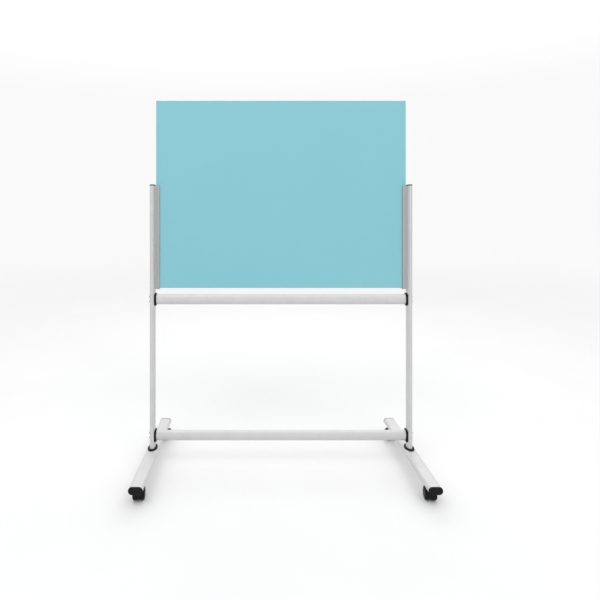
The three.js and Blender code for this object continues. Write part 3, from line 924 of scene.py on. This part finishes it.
def stem(caster):
    """The swivel pin, with a round flange against the foot and a thread above it."""
    node = caster.corner + "_caster_stem"
    low, high, _, _ = span(node)
    under_foot = FOOT.low.z - GAP
    flange_low = JOINTS[caster.corner + "_caster_swivel"]["pos_m"][2] + 1 * MM
    pin = 3.5 * MM
    thread = 5 * MM
    profile = [(pin - 0.6 * MM, low.z), (pin, low.z + 0.6 * MM), (pin, flange_low)]
    profile += [(STEM_FLANGE - 0.6 * MM, flange_low), (STEM_FLANGE, flange_low + 0.5 * MM)]
    profile += [(STEM_FLANGE, under_foot - 0.5 * MM)]
    profile += [(STEM_FLANGE - 0.5 * MM, under_foot), (thread, under_foot)]
    pitch, thread_depth = 1.5 * MM, 0.6 * MM
    height = under_foot + pitch
    while height < high.z - 2 * pitch:
        profile += [(thread, height), (thread - thread_depth, height + pitch / 2)]
        height += pitch
    profile += [(thread, high.z - 1 * MM), (thread - 1 * MM, high.z)]
    bm = turned(profile, caster.place, 40)
    finish_mesh(node + "_turned", bm, "frame", [node], [ZINC], sharp=30)


def brake_pedal(caster):
    """A foot lever with a ribbed, upturned tip, a hinge barrel and a locking lug."""
    node = caster.corner + "_caster_brake_pedal"
    slope = BRAKE_HINGE - TAU / 4 + math.radians(15)
    cos, sin = math.cos(slope), math.sin(slope)

    def place(y, z, x):
        return caster.place(x, caster.hinge_y + y * cos - z * sin, caster.hinge_z + y * sin + z * cos)

    half = 8 * MM
    edge = 0.5 * MM
    end_radius, radius = 2.6 * MM, 3.2 * MM
    profile = [(end_radius, -half), (radius, -half + edge), (radius, half - edge), (end_radius, half)]
    barrel = turned(profile, place, 32)
    pin_radius, pin_half = 1.5 * MM, 11 * MM
    pin = turned([(pin_radius, -pin_half), (pin_radius, pin_half)], place, 24)
    # The lever's side outline in mm from its hinge, with four ridges along its top.
    top = [(0, 3.1), (4, 2.9), (10, 2.7)]
    for k in range(4):
        y = 11.5 + 2.1 * k
        ridge = 3.3 + 0.15 * k
        top += [(y, 2.7 + 0.1 * k), (y + 0.4, ridge), (y + 1.1, ridge), (y + 1.5, 2.8 + 0.12 * k)]
    tip = [(21.4, 3.8), (22.4, 3.4), (22.6, 2.2), (22.0, 1.0), (20.5, 0.0)]
    under = [(14, -0.3), (6, -0.3), (0, -1.6)]
    half_lever = half - 0.1 * MM
    outline = [(y * MM, z * MM) for y, z in top + tip + under]
    lever = polygon_prism(outline, -half_lever, half_lever, place, 0.25 * MM)
    half_lug = 5 * MM
    outline = [(y * MM, z * MM) for y, z in ((-1.5, -1), (-1.5, -8), (2.8, -8), (3.5, -7), (3.5, -1))]
    lug = polygon_prism(outline, -half_lug, half_lug, place, 0.3 * MM)
    pedal = united([barrel, pin, lever, lug])
    body = caster.corner + "_brake_pedal"
    finish_mesh(node + "_moulding", pedal, body, [node], [BLACK], sharp=32)


# ---------------------------------------------------------------- building it all


def keep(node, material):
    """A CAD node that stays, with a better material."""
    obj = frame["nodes"][node]
    obj.data.materials.clear()
    obj.data.materials.append(material)


glass_sheet("board_front_glass")
glass_sheet("board_rear_glass")
keep("board_steel_sheet", STEEL)
for side, direction in SIDES:
    upright(side)
    upright_cap(side)
    side_channel(side, direction)
    keep(side + "_channel_liner", LINER)
    foot(side)
    base_collar(side)
    for bar in BARS:
        connector(side, direction, bar)
        for level in ("upper", "lower"):
            crossbar_screw(side, direction, bar, level)
    for end, outward in ENDS:
        foot_plug(side, end, outward)
        base_bolt(side, end)
for bar in BARS:
    crossbar(bar)
for corner in CORNERS:
    caster = Caster(corner)
    stem(caster)
    housing(caster)
    axle(caster)
    for hand in ("left", "right"):
        wheel(caster, hand)
    if corner in BRAKED:
        brake_pedal(caster)


# ---------------------------------------------------------------- floor, light and camera


SKY_HORIZON = 0.95
SKY_ZENITH = 1.5
SKY_SIDES = 0.6  # the surround to the far left and right, as a part of the rest
FLOOR_SIZE = 60
FLOOR_FADE = (2.5, 12)  # the floor turns into the surround's white between these distances
SKY_RISE = (0.25, 1.0)  # the surround brightens while its direction's height is in this range
SKY_DIMMING = (0.6, 0.95)  # and dims while its sideways part is in this one
LAMP_TARGET = (0, 0, 0.9)
# Name, place, size and watts. The front lamps hang high, so that the panel doesn't mirror them.
LAMPS = (
    ("left_softbox", (-1.4, -3.0, 4.4), (2.0, 2.0), 34),
    ("right_softbox", (1.6, -3.0, 4.2), (2.0, 2.0), 24),
    ("back_softbox", (0.5, 3.4, 3.2), (3.0, 2.0), 24),
)


def floor():
    """A pale floor that fades into the surround far out, so that no horizon shows."""
    bpy.ops.mesh.primitive_plane_add(size=FLOOR_SIZE, location=(0, 0, 0))
    plane = bpy.context.object
    plane.name = "studio_floor"
    look = Look("studio_floor")
    cloud = look.spread(look.noise(0.8, 3), 0, 1)
    look.colour(look.mixed(cloud, (0.71, 0.71, 0.71), (0.73, 0.73, 0.73)))
    look.set(Roughness=0.8)
    distance = look.nodes.new("ShaderNodeVectorMath")
    distance.operation = "LENGTH"
    look.links.new(look.place, distance.inputs[0])
    white = look.nodes.new("ShaderNodeEmission")
    white.inputs["Strength"].default_value = SKY_HORIZON
    blend = look.nodes.new("ShaderNodeMixShader")
    look.links.new(look.spread(distance.outputs["Value"], 0, 1, *FLOOR_FADE), blend.inputs[0])
    look.links.new(look.shader.outputs["BSDF"], blend.inputs[1])
    look.links.new(white.outputs["Emission"], blend.inputs[2])
    look.links.new(blend.outputs["Shader"], look.nodes["Material Output"].inputs["Surface"])
    plane.data.materials.append(look.material)
    plane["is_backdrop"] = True


def area_light(name, location, target, size, power):
    data = bpy.data.lights.new(name, "AREA")
    data.shape = "RECTANGLE"
    data.size, data.size_y = size
    data.energy = power
    lamp = bpy.data.objects.new(name, data)
    bpy.context.scene.collection.objects.link(lamp)
    lamp.location = location
    lamp.rotation_euler = (Vector(target) - Vector(location)).to_track_quat("-Z", "Y").to_euler()


def studio_light():
    """A white surround, brighter overhead and dimmer to the sides, with soft lamps in front and behind."""
    world = bpy.data.worlds.new("studio")
    bpy.context.scene.world = world
    world.use_nodes = True
    nodes, links = world.node_tree.nodes, world.node_tree.links

    def ramp(value, starts, ends):
        node = nodes.new("ShaderNodeMapRange")
        node.inputs["From Min"].default_value, node.inputs["From Max"].default_value = starts
        node.inputs["To Min"].default_value, node.inputs["To Max"].default_value = ends
        links.new(value, node.inputs["Value"])
        return node.outputs["Result"]

    def calculation(operation, *values):
        node = nodes.new("ShaderNodeMath")
        node.operation = operation
        for value, socket in zip(values, node.inputs):
            links.new(value, socket)
        return node.outputs["Value"]

    split = nodes.new("ShaderNodeSeparateXYZ")
    links.new(nodes.new("ShaderNodeTexCoord").outputs["Generated"], split.inputs["Vector"])
    height = ramp(split.outputs["Z"], SKY_RISE, (SKY_HORIZON, SKY_ZENITH))
    sides = ramp(calculation("ABSOLUTE", split.outputs["X"]), SKY_DIMMING, (1.0, SKY_SIDES))
    background = nodes["Background"]
    background.inputs["Color"].default_value = (1, 1, 1, 1)
    links.new(calculation("MULTIPLY", height, sides), background.inputs["Strength"])
    for name, location, size, power in LAMPS:
        area_light(name, location, LAMP_TARGET, size, power)
    # The plain sRGB view keeps the panel's colour as it is.
    bpy.context.scene.view_settings.view_transform = "Standard"


CAMERA_DISTANCE = 2.223  # from the panel's plane
CAMERA_HEIGHT = 1.214
CAMERA_X = -0.1315
FOCAL_LENGTH = 27.26
SENSOR_WIDTH = 36
SHIFT = (0.0766, -0.1355)


def camera():
    data = bpy.data.cameras.new("camera")
    data.sensor_width = SENSOR_WIDTH
    data.lens = FOCAL_LENGTH
    data.shift_x, data.shift_y = SHIFT
    eye = bpy.data.objects.new("camera", data)
    bpy.context.scene.collection.objects.link(eye)
    eye.location = (CAMERA_X, -CAMERA_DISTANCE, CAMERA_HEIGHT)
    eye.rotation_euler = (TAU / 4, 0, 0)
    bpy.context.scene.camera = eye


floor()
studio_light()
camera()

boxes = {"cad": CAD_BOUNDS, "visual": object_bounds()}
{name: [list(corner) for corner in box] for name, box in boxes.items()}
